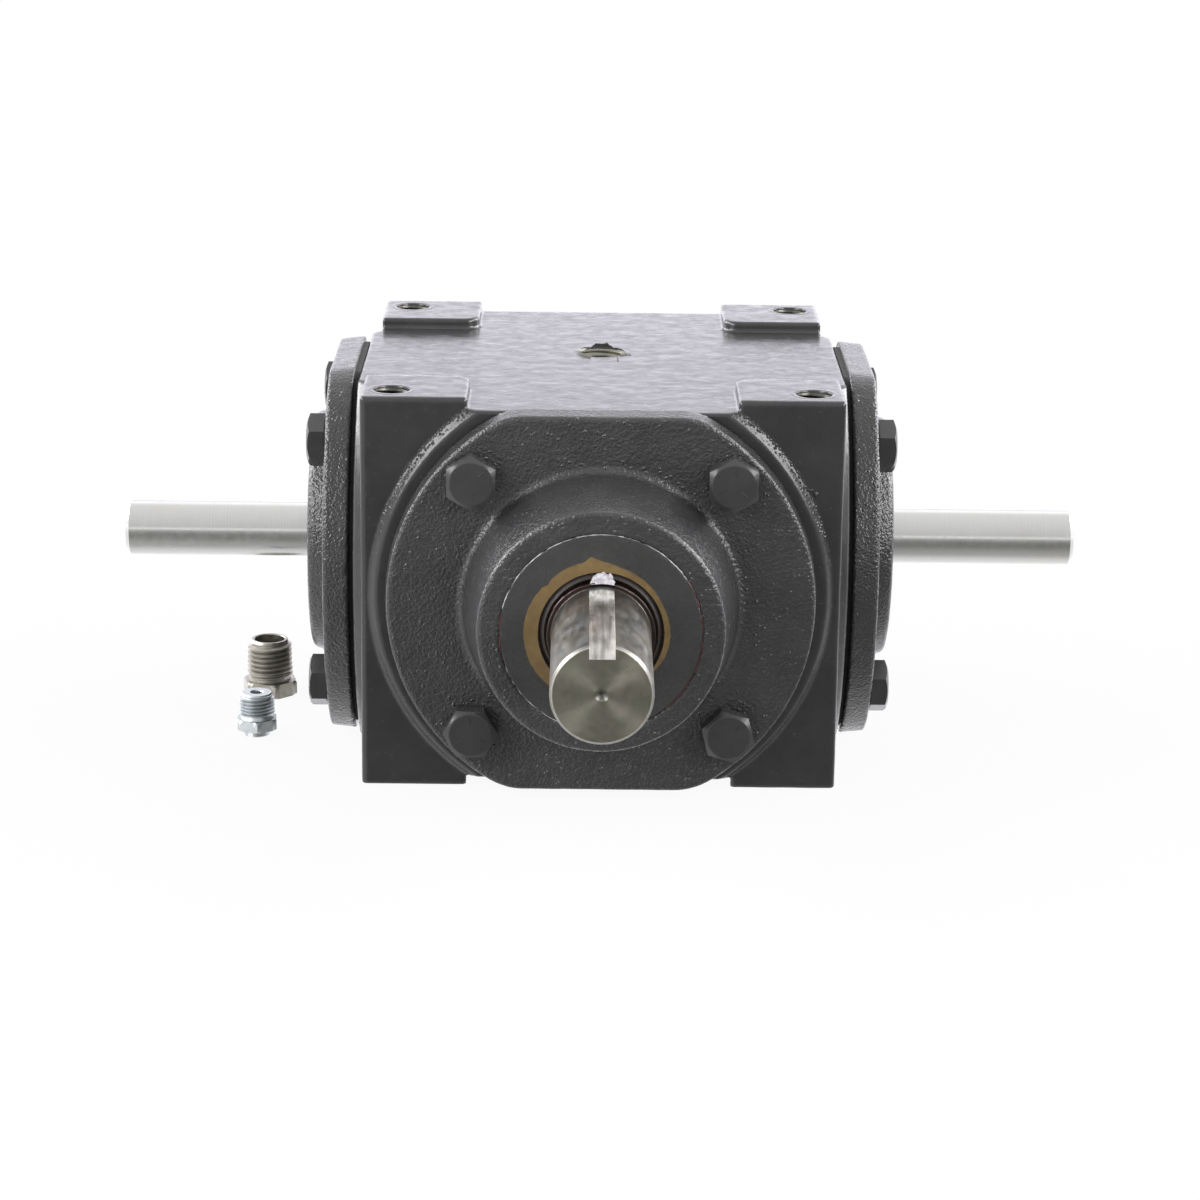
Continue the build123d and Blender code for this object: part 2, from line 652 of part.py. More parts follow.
def side_shaft():
    seat = SIDE_SEAT_RADIUS
    shoulder = gear_inner_corner(PINION_TEETH, GEAR_TEETH, PINION_INNER_DEPTH)[1] - CLEARANCE
    body = turned([
        (0, -SIDE_SHAFT_END),
        (SIDE_END_RADIUS - 1.0, -SIDE_SHAFT_END),
        (SIDE_END_RADIUS, -SIDE_SHAFT_END + 1.0),
        (SIDE_END_RADIUS, -SIDE_JOURNAL_END),
        (SIDE_JOURNAL_RADIUS, -SIDE_JOURNAL_END),
        (SIDE_JOURNAL_RADIUS, -SIDE_SEAT_END),
        (seat, -SIDE_SEAT_END, 0.2),
        (seat, -SIDE_SHOULDER_END),
        (SIDE_SHOULDER_RADIUS, -SIDE_SHOULDER_END, 0.5),
        (SIDE_SHOULDER_RADIUS, shoulder),
        (seat, shoulder),
        (seat, SIDE_SEAT_END, 0.2),
        (SIDE_JOURNAL_RADIUS, SIDE_SEAT_END),
        (SIDE_JOURNAL_RADIUS, SIDE_JOURNAL_END),
        (SIDE_END_RADIUS, SIDE_JOURNAL_END),
        (SIDE_END_RADIUS, SIDE_SHAFT_END - 1.0),
        (SIDE_END_RADIUS - 1.0, SIDE_SHAFT_END),
        (0, SIDE_SHAFT_END),
    ])
    length = PINION_BACK - 1 - shoulder
    slot = Box(SIDE_KEY_SIZE, SIDE_KEY_SIZE, length, align=(Align.CENTER, Align.MIN, Align.MIN))
    return body - Pos(0, SIDE_KEYWAY_FLOOR, shoulder) * slot


def pipe_plug():
    """A flush pipe plug with a hexagon socket; its outer face is at height 0."""
    body = chamfer(disc(PORT_RADIUS - 0.05, -9.0, 0).edges(), 0.5)
    return body - prism(0.25 * INCH, -5.0, 1)


def pipe_thread(diameter, low, high):
    """The tapered envelope of a male pipe thread, narrow end up."""
    base = diameter / 2
    return turned([
        (0, low),
        (base, low),
        (base - (high - low) * NPT_HALF_TAPER - 0.5, high, 0.4),
        (0, high),
    ])


def reducer_bushing():
    height = BUSHING_HEIGHT
    corner = BUSHING_FLATS / sqrt(3)
    trim = turned([
        (0, 0),
        (BUSHING_FLATS / 2 - 0.2, 0),
        (corner + 0.1, 1.0),
        (corner + 0.1, BUSHING_HEX_HEIGHT - 1.0),
        (BUSHING_FLATS / 2 - 0.2, BUSHING_HEX_HEIGHT),
        (0, BUSHING_HEX_HEIGHT),
    ])
    head = prism(BUSHING_FLATS, 0, BUSHING_HEX_HEIGHT) & trim
    neck = disc(0.23 * INCH, BUSHING_HEX_HEIGHT, BUSHING_HEX_HEIGHT + 1.6)
    body = head + neck + pipe_thread(0.54 * INCH, BUSHING_HEX_HEIGHT + 1.4, height)
    return body - disc(BUSHING_BORE_RADIUS, -1, height + 1)


def vent_body():
    corner = VENT_FLATS / sqrt(3)
    trim = turned([
        (0, VENT_CAP_HEIGHT),
        (VENT_FLATS / 2 - 0.2, VENT_CAP_HEIGHT),
        (corner, VENT_CAP_HEIGHT + 0.7),
        (corner, VENT_HEX_TOP - 0.7),
        (VENT_FLATS / 2 - 0.2, VENT_HEX_TOP),
        (0, VENT_HEX_TOP),
    ])
    head = prism(VENT_FLATS, VENT_CAP_HEIGHT, VENT_HEX_TOP) & trim
    neck = disc(0.17 * INCH, VENT_HEX_TOP, VENT_HEX_TOP + 1.2)
    body = head + neck + pipe_thread(0.405 * INCH, VENT_HEX_TOP + 1.0, VENT_HEIGHT)
    return body - disc(VENT_BORE_RADIUS, VENT_CAP_HEIGHT - 1, VENT_HEIGHT + 1)


def vent_cap():
    """The slotted cap under the vent plug's hexagon."""
    radius = VENT_CAP_RADIUS
    body = turned([(0, 0), (radius, 0, 0.5), (radius, VENT_CAP_HEIGHT), (0, VENT_CAP_HEIGHT)])
    return body - Pos(*VENT_SLOT_PLACE, 0) * Box(VENT_SLOT_WIDTH, 10, 3, align=UP)


SEAL_PARTS = (("case", seal_case), ("lip", seal_lip), ("spring", seal_spring))
BEARING_PARTS = (
    ("cup", bearing_cup),
    ("cone", bearing_cone),
    ("rollers", bearing_rollers),
    ("cage", bearing_cage),
)


def save_placed(name, place, shape):
    """Write a shape, or a group of separate solids, moved to its place."""
    if isinstance(shape, list):
        save(name, Compound([place * item for item in shape]))
    else:
        save(name, place * shape)


def make_case():
    save("housing", housing())
    save_placed("front_cover", FRONT, front_cover())
    for name, side in (("left", LEFT), ("right", RIGHT)):
        save_placed(name + "_cover", side, side_cover())
        save_placed(name + "_shims", side, shims(SIDE_FACE))
        save_placed(name + "_cover_bolts", side, cover_bolts(SIDE_FACE, {}))
    save_placed("front_shims", FRONT, shims(FRONT_FACE))
    save_placed("front_cover_bolts", FRONT, cover_bolts(FRONT_FACE, FRONT_BOLT_TURNS))
    save_placed("drain_plug", Pos(0, 0, PAD_STEP + 0.4) * FLIP, pipe_plug())
    save_placed("level_plug", FRONT * Pos(0, 0, 0.4 - FRONT_FACE) * FLIP, pipe_plug())


def make_seals():
    places = (("front", FRONT, FRONT_SEAL), ("left", LEFT, SIDE_SEAL), ("right", RIGHT, SIDE_SEAL))
    for name, side, sizes in places:
        for part, build in SEAL_PARTS:
            save_placed(name + "_seal_" + part, side, build(**sizes))


def make_bearings():
    places = (
        ("front_inner", FRONT * Pos(0, 0, FRONT_INNER_BEARING), FRONT_BEARING),
        ("front_outer", FRONT * Pos(0, 0, FRONT_OUTER_BEARING) * FLIP, FRONT_BEARING),
        ("left", LEFT * Pos(0, 0, SIDE_BEARING_START), SIDE_BEARING),
        ("right", RIGHT * Pos(0, 0, SIDE_BEARING_START), SIDE_BEARING),
    )
    for name, place, sizes in places:
        for part, build in BEARING_PARTS:
            save_placed(name + "_bearing_" + part, place, build(sizes))


def make_front_shaft():
    spacer_start = FRONT_INNER_BEARING + FRONT_BEARING["cone"] + CLEARANCE
    spacer_end = FRONT_OUTER_BEARING - FRONT_BEARING["cone"] - CLEARANCE
    spacer_bore = FRONT_SEAT_RADIUS + CLEARANCE
    save_placed("front_shaft", FRONT, front_shaft())
    save_placed("large_bevel_gear", FRONT, large_bevel_gear())
    save_placed("gear_key", FRONT, key(FRONT_KEY_SIZE, FRONT_KEYWAY_FLOOR, 17.0, GEAR_BACK - 1.2))
    save_placed("front_spacer", FRONT, ring(spacer_bore, 16.6, spacer_start, spacer_end))
    save_placed("gear_retaining_ring", FRONT, retaining_ring(FRONT_SHAFT_RADIUS, gear_ring_start()))
    outer_ring = retaining_ring(FRONT_SEAT_RADIUS, FRONT_OUTER_BEARING + 0.05)
    save_placed("bearing_retaining_ring", FRONT, outer_ring)


def make_side_shaft():
    spacer_bore = SIDE_SEAT_RADIUS + CLEARANCE
    save_placed("side_shaft", RIGHT, side_shaft())
    save_placed("bevel_pinion", RIGHT, bevel_pinion())
    save_placed("pinion_key", RIGHT, key(SIDE_KEY_SIZE, SIDE_KEYWAY_FLOOR, 29.0, 44.5))
    spacer = ring(spacer_bore, 12.0, PINION_BACK + CLEARANCE, SIDE_BEARING_START - CLEARANCE)
    save_placed("pinion_spacer", RIGHT, spacer)


def make_fittings():
    save_placed("reducer_bushing", Pos(*BUSHING_PLACE, 0) * Rot(0, 0, BUSHING_TURN), reducer_bushing())
    save_placed("vent_plug", Pos(*VENT_PLACE, 0) * Rot(0, 0, VENT_TURN), vent_body())
    save_placed("vent_cap", Pos(*VENT_PLACE, 0), vent_cap())


os.makedirs("parts", exist_ok=True)
make_case()
make_seals()
make_bearings()
make_front_shaft()
make_side_shaft()
make_fittings()
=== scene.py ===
"""The looks of a right-angle bevel gearbox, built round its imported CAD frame.

Shapes are written in millimetres and scaled by MM when their mesh is made. The frame has +X out of the right
end of the through shaft, -Y out of the slow shaft, and +Z up from the floor.
"""
import math
import random

import bmesh
import bpy
from mathutils import Matrix, Vector, noise


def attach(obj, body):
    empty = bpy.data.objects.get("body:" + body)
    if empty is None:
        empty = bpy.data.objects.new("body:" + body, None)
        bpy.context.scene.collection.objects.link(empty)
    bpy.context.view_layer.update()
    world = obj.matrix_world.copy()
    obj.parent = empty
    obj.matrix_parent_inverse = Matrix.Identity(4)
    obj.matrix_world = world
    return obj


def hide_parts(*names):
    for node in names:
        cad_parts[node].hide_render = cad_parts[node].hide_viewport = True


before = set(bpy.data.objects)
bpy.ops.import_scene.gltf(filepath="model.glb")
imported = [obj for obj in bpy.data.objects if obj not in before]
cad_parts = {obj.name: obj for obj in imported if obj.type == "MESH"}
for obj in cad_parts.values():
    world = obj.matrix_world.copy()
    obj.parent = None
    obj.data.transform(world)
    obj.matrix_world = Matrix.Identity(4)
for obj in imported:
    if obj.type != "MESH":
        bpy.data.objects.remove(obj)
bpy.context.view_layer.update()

MM = 0.001
AXIS_HEIGHT = 53.18
HOUSING_TOP = 106.3625
TOP_FACE = HOUSING_TOP - 3.0
HOUSING_FRONT = 66.675
FLANGE_FACE = 76.975
SIDE_FLANGE_FACE = 74.5
SHAFT_END = 153.99
SHAFT_RADIUS = 12.7
SEAL_FACE = 101.55
SEAL_EDGE = 26.0
SEAL_LIP = 16.15
SEAT_RADIUS = 13.8
SEAT_END = 104.1
BOSS_SEAM = (60.3, 61.7)
FOOT_PLACES = [(sx * 55.5625, sy * 57.15) for sx in (-1, 1) for sy in (-1, 1)]
FOOT_RADIUS = 4.7625
FOOT_PITCH = 25.4 / 16
PORT_PLACE = (0.0, 8.0)
PORT_RADIUS = 6.858
PORT_PITCH = 25.4 / 18
BOLT_OFFSET = 33.95
BOLT_HEAD = 5.2
BUSHING_PLACE = (-95.3, 15.0)
VENT_PLACE = (-95.5, -24.2)

FRONT = Matrix(((1, 0, 0, 0), (0, 0, -1, 0), (0, 1, 0, AXIS_HEIGHT), (0, 0, 0, 1)))
RIGHT = Matrix(((0, 0, 1, 0), (1, 0, 0, 0), (0, 1, 0, AXIS_HEIGHT), (0, 0, 0, 1)))
LEFT = Matrix(((0, 0, -1, 0), (-1, 0, 0, 0), (0, 1, 0, AXIS_HEIGHT), (0, 0, 0, 1)))


# ---- Materials -----------------------------------------------------------------------------------

def fill_ramp(node, stops):
    """Gives a colour ramp its stops, each a position and a colour."""
    elements = node.color_ramp.elements
    while len(elements) < len(stops):
        elements.new(0.5)
    for element, (position, colour) in zip(elements, stops):
        element.position = position
        element.color = (*colour, 1)


class Look:
    """A material's Principled shader and the nodes that drive it. Lengths are in millimetres."""

    def __init__(self, name, **values):
        self.material = bpy.data.materials.new(name)
        self.material.use_nodes = True
        self.tree = self.material.node_tree
        self.shader = self.tree.nodes["Principled BSDF"]
        coordinates = self.add("ShaderNodeTexCoord")
        self.place = coordinates.outputs["Object"]
        self.set(**values)

    def add(self, kind, settings=None, **inputs):
        node = self.tree.nodes.new(kind)
        for key, value in (settings or {}).items():
            setattr(node, key, value)
        for key, value in inputs.items():
            self.plug(node.inputs[key.replace("_", " ")], value)
        return node

    def plug(self, socket, value):
        if isinstance(value, bpy.types.NodeSocket):
            self.tree.links.new(value, socket)
        else:
            socket.default_value = value

    def set(self, **values):
        for key, value in values.items():
            self.plug(self.shader.inputs[key.replace("_", " ")], value)

    def scaled(self, size, stretch):
        scale = [1 / (size * MM * factor) for factor in stretch]
        return self.add("ShaderNodeMapping", Vector=self.place, Scale=scale).outputs["Vector"]

    def noise(self, size, stretch=(1, 1, 1), detail=3.0, warp=0.0):
        node = self.add(
            "ShaderNodeTexNoise", Vector=self.scaled(size, stretch), Scale=1.0,
            Detail=detail, Roughness=0.55, Distortion=warp,
        )
        return node.outputs["Fac"]

    def cells(self, size):
        """The distance from the middle of the nearest of many scattered cells, as a share of their size."""
        node = self.add("ShaderNodeTexVoronoi", Vector=self.scaled(size, (1, 1, 1)), Scale=1.0)
        return node.outputs["Distance"]

    def along(self, axis):
        """One coordinate of the place, in metres."""
        return self.add("ShaderNodeSeparateXYZ", Vector=self.place).outputs[axis]

    def radius(self, axis):
        """The distance in metres from the shafts' crossing, seen along an axis."""
        centre = [0.0, 0.0, -AXIS_HEIGHT * MM]
        moved = self.add("ShaderNodeVectorMath", {"operation": "ADD"})
        flat = self.add("ShaderNodeVectorMath", {"operation": "MULTIPLY"})
        length = self.add("ShaderNodeVectorMath", {"operation": "LENGTH"})
        self.plug(moved.inputs[0], self.place)
        self.plug(moved.inputs[1], centre)
        self.plug(flat.inputs[0], moved.outputs[0])
        self.plug(flat.inputs[1], [0.0 if index == axis else 1.0 for index in range(3)])
        self.plug(length.inputs[0], flat.outputs[0])
        return length.outputs["Value"]

    def rings(self, distance, size):
        """Noise that changes only with a distance in metres, so that it draws turning marks."""
        place = self.math("MULTIPLY", distance, 1 / (size * MM))
        node = self.add("ShaderNodeTexNoise", {"noise_dimensions": "1D"}, W=place, Scale=1.0, Detail=5.0)
        return node.outputs["Fac"]

    def math(self, operation, first, second=0.0):
        node = self.add("ShaderNodeMath", {"operation": operation})
        self.plug(node.inputs[0], first)
        self.plug(node.inputs[1], second)
        return node.outputs[0]

    def between(self, value, low, high, soft):
        """1 where a distance in metres lies between two distances in millimetres, 0 outside."""
        enter = self.spread(value, 0.0, 1.0, (low - soft) * MM, (low + soft) * MM)
        leave = self.spread(value, 1.0, 0.0, (high - soft) * MM, (high + soft) * MM)
        return self.math("MULTIPLY", enter, leave)

    def spread(self, factor, low, high, start=0.3, end=0.7):
        """The factor's range from start to end, stretched to run from low to high."""
        node = self.add("ShaderNodeMapRange", Value=factor)
        for name, value in (("From Min", start), ("From Max", end), ("To Min", low), ("To Max", high)):
            node.inputs[name].default_value = value
        return node.outputs["Result"]

    def ramp(self, factor, *stops):
        node = self.add("ShaderNodeValToRGB", Fac=factor)
        fill_ramp(node, stops)
        return node.outputs["Color"]

    def blend(self, factor, first, second):
        node = self.add("ShaderNodeMix", {"data_type": "RGBA"})
        self.plug(node.inputs["Factor"], factor)
        self.plug(node.inputs[6], first if isinstance(first, bpy.types.NodeSocket) else (*first, 1))
        self.plug(node.inputs[7], second if isinstance(second, bpy.types.NodeSocket) else (*second, 1))
        return node.outputs[2]

    def bumps(self, *layers):
        """Relief made of (height, depth in millimetres) layers, one over the other."""
        normal = None
        for height, depth in layers:
            node = self.add("ShaderNodeBump", Height=height, Distance=depth * MM)
            if normal:
                self.plug(node.inputs["Normal"], normal)
            normal = node.outputs["Normal"]
        self.set(Normal=normal)


def enamel(name, shade, gloss, skin, grit, pebble, beads=False):
    """Enamel over iron. gloss is the mean roughness; skin, grit and pebble are the depths in millimetres of
    its ripples, its sandy grain and its round pebbles. beads adds a rough seam round the front boss."""
    look = Look(name, IOR=1.5)
    dark = tuple(0.82 * value for value in shade)
    light = tuple(1.22 * value for value in shade)
    paint = look.ramp(look.noise(9.0, detail=5), (0.25, dark), (0.5, shade), (0.78, light))
    dusty = look.spread(look.noise(0.8, detail=3), 0.0, 0.16, 0.66, 0.78)
    look.set(Base_Color=look.blend(dusty, paint, (0.15, 0.145, 0.135)))
    look.set(Roughness=look.spread(look.noise(3.5, detail=5), gloss - 0.06, gloss + 0.08))
    grains = look.spread(look.cells(1.5), 1.0, 0.0, 0.0, 0.3)
    grains = look.math("MULTIPLY", grains, look.spread(look.noise(4.0, detail=2), 0.0, 1.0, 0.46, 0.60))
    layers = [
        (look.noise(6.0, detail=2), 1.5 * skin),
        (look.noise(1.7, detail=3, warp=0.4), 1.3 * skin),
        (grains, 0.02 + pebble),
        (look.noise(0.75, detail=1), pebble),
        (look.noise(0.4, detail=2), grit),
    ]
    if beads:
        seam = look.between(look.radius(1), *BOSS_SEAM, 0.4)
        front = look.spread(look.along(1), 1.0, 0.0, -66.4 * MM, -65.8 * MM)
        patchy = look.spread(look.noise(5.0, detail=2), 0.25, 1.0, 0.35, 0.6)
        upper = look.spread(look.along(2), 0.15, 1.0, 66.0 * MM, 84.0 * MM)
        lumps = look.spread(look.cells(0.9), 1.0, 0.0, 0.0, 0.5)
        for limit in (front, patchy, upper, lumps):
            seam = look.math("MULTIPLY", seam, limit)
        layers.append((seam, 0.45))
    look.bumps(*layers)
    return look.material


def ground_steel(name, colour, tint, roughness):
    """Bare ground steel with fine marks round the X axis."""
    look = Look(name, Metallic=1.0)
    lines = look.rings(look.along(0), 0.22)
    stain = look.noise(9.0, detail=4, warp=0.6)
    shade = look.blend(look.spread(lines, 0, 1), tuple(0.9 * value for value in colour), colour)
    look.set(Base_Color=look.blend(look.spread(stain, 0.0, 0.65, 0.45, 0.75), shade, tint))
    look.set(Roughness=look.spread(look.noise(2.5, detail=5), roughness - 0.05, roughness + 0.08))
    look.bumps((lines, 0.003), (look.noise(0.9, detail=3), 0.0015))
    return look.material


def slow_shaft_steel():
    """Turned steel: rings along the body, rings from the centre out on the end, a darker, olive end face and
    a dark band on the seal seat, both painted shade, and a pale keyway with lengthwise streaks of painted
    highlight."""
    look = Look("front_shaft_turned", Metallic=1.0, Anisotropic_Rotation=0.25)
    tangent = look.add("ShaderNodeTangent", {"direction_type": "RADIAL", "axis": "Y"})
    look.set(Tangent=tangent.outputs[0])
    end = look.spread(look.along(1), 1.0, 0.0, (0.1 - SHAFT_END) * MM, (0.3 - SHAFT_END) * MM)
    body = look.math("SUBTRACT", 1.0, end)
    look.set(Anisotropic=look.math("MULTIPLY", end, 0.8))
    outside = look.spread(look.radius(1), 0.0, 1.0, (SHAFT_RADIUS - 0.2) * MM, (SHAFT_RADIUS + 0.2) * MM)
    # Painted shade: a dark band on the seal seat, the part of the shaft that the seal's lip shades.
    seat_painted_shade = look.between(look.along(1), -SEAT_END - 0.15, -98.0, 0.12)
    seat_painted_shade = look.math("MULTIPLY", seat_painted_shade, outside)
    body_lines = look.rings(look.along(1), 0.2)
    end_lines = look.rings(look.radius(1), 0.25)
    mottle = look.spread(look.noise(4.5, detail=5, warp=0.8), 0.0, 1.0, 0.38, 0.66)
    bluish = look.spread(look.noise(11.0, (0.7, 2.0, 0.7), warp=0.5), 0.0, 0.6, 0.42, 0.62)
    steel = look.blend(look.spread(body_lines, 0, 1), (0.23, 0.225, 0.205), (0.29, 0.285, 0.265))
    steel = look.blend(bluish, steel, (0.22, 0.235, 0.26))
    steel = look.blend(look.math("MULTIPLY", mottle, 0.6), steel, (0.19, 0.155, 0.115))
    # The keyway is coloured pale, with lengthwise streaks of painted highlight along it.
    slot = look.between(look.radius(1), 5.0, SHAFT_RADIUS - 0.6, 0.2)
    highlight_streaks = look.spread(look.noise(1.1, (1, 30, 1), detail=2), 0.0, 1.0, 0.35, 0.6)
    pale = look.blend(highlight_streaks, (0.56, 0.54, 0.50), (0.90, 0.88, 0.85))
    steel = look.blend(look.math("MULTIPLY", slot, body), steel, pale)
    # Painted shade: the end face takes a darker, more olive colour than the body; the rust specks on it are
    # real.
    end_shade_and_rust = look.blend(mottle, (0.17, 0.17, 0.135), (0.215, 0.20, 0.17))
    rust = look.spread(look.noise(0.9, detail=4), 0.0, 0.75, 0.63, 0.70)
    end_shade_and_rust = look.blend(rust, end_shade_and_rust, (0.12, 0.11, 0.09))
    steel = look.blend(end, steel, end_shade_and_rust)
    look.set(Base_Color=look.blend(seat_painted_shade, steel, (0.045, 0.036, 0.032)))
    gloss = look.spread(look.noise(2.5, (1, 3, 1), detail=5), 0.30, 0.46)
    look.set(Roughness=look.math("ADD", look.math("MULTIPLY", end, 0.08), gloss))
    look.bumps(
        (look.math("MULTIPLY", body_lines, body), 0.003),
        (look.math("MULTIPLY", end_lines, end), 0.004),
        (look.noise(1.1, detail=4), 0.002),
    )
    return look.material


def plain_metal(name, colour, tint, roughness, grain=1.2, depth=0.01):
    look = Look(name, Metallic=1.0)
    mottle = look.noise(grain * 3, detail=5, warp=0.5)
    look.set(Base_Color=look.blend(look.spread(mottle, 0, 1), colour, tint))
    look.set(Roughness=look.spread(look.noise(grain, detail=4), roughness - 0.06, roughness + 0.1))
    look.bumps((look.noise(grain, detail=4), depth), (look.cells(grain * 2), depth * 0.3))
    return look.material


def dull_surface(name, colour, tint, roughness, grain=1.0, depth=0.02):
    look = Look(name)
    mottle = look.noise(grain * 4, detail=5, warp=0.3)
    look.set(Base_Color=look.blend(look.spread(mottle, 0, 1), colour, tint))
    look.set(Roughness=look.spread(look.noise(grain, detail=3), roughness - 0.08, roughness + 0.1))
    look.bumps((look.noise(grain, detail=4), depth))
    return look.material


BLACK = (0.023, 0.023, 0.024)
LOOKS = {
    "housing_enamel": enamel("housing_enamel_paint", BLACK, 0.21, 0.022, 0.006, 0.012, beads=True),
    "cover_enamel": enamel("cover_enamel_paint", (0.027, 0.027, 0.028), 0.20, 0.060, 0.050, 0.300),
    "bolt_enamel": enamel("bolt_enamel_paint", (0.031, 0.031, 0.031), 0.19, 0.012, 0.005, 0.010),
    "seal_case": enamel("seal_face_paint", (0.032, 0.032, 0.032), 0.26, 0.006, 0.003, 0.004),
    "front_shaft_steel": slow_shaft_steel(),
    "side_shaft_steel": ground_steel("side_shaft_ground", (0.60, 0.60, 0.59), (0.56, 0.55, 0.53), 0.20),
    "bushing_steel": plain_metal(
        "bushing_turned_steel", (0.36, 0.345, 0.31), (0.27, 0.255, 0.225), 0.34, 0.8, 0.002,
    ),
    "zinc_plate": plain_metal(
        "vent_zinc_plate", (0.52, 0.54, 0.56), (0.42, 0.45, 0.46), 0.34, 0.6, 0.002,
    ),
    "shim": dull_surface("shim_fibre", (0.012, 0.012, 0.012), (0.025, 0.024, 0.022), 0.75, 0.4, 0.02),
    "plug": plain_metal("plug_dark_oxide", (0.10, 0.10, 0.10), (0.15, 0.14, 0.13), 0.42),
    "seal_rubber": dull_surface("seal_lip_rubber", (0.016, 0.012, 0.011), (0.030, 0.018, 0.014), 0.45),
    "spring_steel": plain_metal("ring_spring_steel", (0.22, 0.22, 0.23), (0.16, 0.16, 0.18), 0.30),
    "bearing_steel": plain_metal(
        "bearing_ground_steel", (0.62, 0.62, 0.61), (0.55, 0.55, 0.54), 0.16, 0.5, 0.002,
    ),
    "cage_steel": plain_metal("cage_pressed_steel", (0.42, 0.42, 0.40), (0.34, 0.33, 0.31), 0.36),
    "gear_steel": plain_metal("gear_oiled_steel", (0.40, 0.38, 0.34), (0.30, 0.28, 0.25), 0.30, 0.7, 0.008),
    "plain_steel": plain_metal("inner_plain_steel", (0.48, 0.47, 0.45), (0.40, 0.39, 0.36), 0.34),
}


def dress(obj, slot):
    """Gives a piece the finish of a record slot."""
    obj.data.materials.clear()
    obj.data.materials.append(LOOKS[slot])


# ---- Mesh helpers --------------------------------------------------------------------------------

def make_piece(name, points, faces, body, slot=None, look=None, place=None):
    """A mesh piece that rides on a body. Points are in millimetres, in the frame of place if it is given."""
    mesh = bpy.data.meshes.new(name)
    points = [Vector(point) for point in points]
    if place:
        points = [place @ point for point in points]
    mesh.from_pydata([point * MM for point in points], [], faces)
    mesh.validate()
    net = bmesh.new()
    net.from_mesh(mesh)
    bmesh.ops.recalc_face_normals(net, faces=net.faces)
    net.to_mesh(mesh)
    net.free()
    mesh.shade_smooth()
    mesh.set_sharp_from_angle(angle=math.radians(38))
    obj = bpy.data.objects.new(name, mesh)
    bpy.context.collection.objects.link(obj)
    if slot:
        dress(obj, slot)
    if look:
        mesh.materials.append(look)
    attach(obj, body)
    return obj


def grid_faces(rows, columns, wrap=False):
    """Quads over a grid of points stored row by row; wrap joins each row's end to its start."""
    last = columns if wrap else columns - 1
    faces = []
    for row in range(rows - 1):
        for column in range(last):
            a = row * columns + column
            b = row * columns + (column + 1) % columns
            faces.append((a, b, b + columns, a + columns))
    return faces


def lathe(profile, steps=96, closed=True):
    """Points and faces of a body turned about Z. Each profile row is a height and a radius, or a function of
    the angle that gives the radius."""
    points = []
    for height, radius in profile:
        for step in range(steps):
            angle = 2 * math.pi * step / steps
            reach = radius(angle) if callable(radius) else radius
            points.append((reach * math.cos(angle), reach * math.sin(angle), height))
    faces = grid_faces(len(profile), steps, wrap=True)
    if closed:
        last = (len(profile) - 1) * steps
        faces += [(last + step, last + (step + 1) % steps, (step + 1) % steps, step) for step in range(steps)]
    return points, faces


def hexagon(flats, cone):
    """Radius of a hexagon across flats by angle, cut off by the cone's radius at this height."""
    def reach(angle):
        off = (angle + math.pi / 6) % (math.pi / 3) - math.pi / 6
        return min(flats / 2 / math.cos(off), cone)
    return reach


def helix(root, crest, pitch, low, high, taper=0.0):
    """A thread ridge about Z from low to high, which fades in and out. The crest is inside the root for a
    tapped hole. taper is the radius lost for each millimetre of height."""
    points, steps = [], 40
    rings = int((high - low) / pitch * steps)
    sunk = 0.12 if crest > root else -0.12
    for ring in range(rings + 1):
        angle = 2 * math.pi * ring / steps
        height = low + (high - low) * ring / rings
        fade = min(1.0, ring / (0.6 * steps), (rings - ring) / (0.6 * steps))
        top = root + (crest - root) * fade
        shrink = taper * (height - low)
        for offset, radius in ((-0.5, root - sunk), (-0.1, top), (0.1, top), (0.5, root - sunk)):
            reach = radius - shrink
            points.append((reach * math.cos(angle), reach * math.sin(angle), height + offset * pitch))
    return points, grid_faces(rings + 1, 4)


def joined(parts):
    """One set of points and faces from several (points, faces, place) parts."""
    points, faces = [], []
    for part_points, part_faces, place in parts:
        start = len(points)
        points += [place @ Vector(point) for point in part_points]
        faces += [tuple(start + index for index in face) for face in part_faces]
    return points, faces


def wobble(point, size, seed=0.0):
    """Smooth noise from about -1 to 1 with features of the given size in millimetres."""
    return noise.noise(Vector(point) / size + Vector((seed, 1.7 * seed, -seed)))


# ---- Castings ------------------------------------------------------------------------------------

def casting(node, cell, slot):
    """Stands for a cast CAD node of the case: the same surface on a fine net, its edges softened by the cell
    size, with the slight unevenness of sand-cast iron under paint."""
    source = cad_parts[node]
    raw = bpy.data.objects.new(node + "_raw", source.data.copy())
    bpy.context.collection.objects.link(raw)
    net = raw.modifiers.new("net", "REMESH")
    net.mode = "VOXEL"
    net.voxel_size = cell * MM
    wrap = raw.modifiers.new("wrap", "SHRINKWRAP")
    wrap.target = source
    wrap.wrap_method = "NEAREST_SURFACEPOINT"
    graph = bpy.context.evaluated_depsgraph_get()
    mesh = bpy.data.meshes.new_from_object(raw.evaluated_get(graph))
    bpy.data.objects.remove(raw)
    shifts = []
    for vertex in mesh.vertices:
        place = vertex.co / MM
        lift = 0.05 * wobble(place, 6.0) + 0.025 * wobble(place, 2.2, 3.0)
        shifts.append(vertex.normal * lift * MM)
    for vertex, shift in zip(mesh.vertices, shifts):
        vertex.co += shift
    mesh.shade_smooth()
    piece = bpy.data.objects.new(node + "_casting", mesh)
    bpy.context.collection.objects.link(piece)
    dress(piece, slot)
    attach(piece, "case")
    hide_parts(node)


# ---- Threads and ports ---------------------------------------------------------------------------

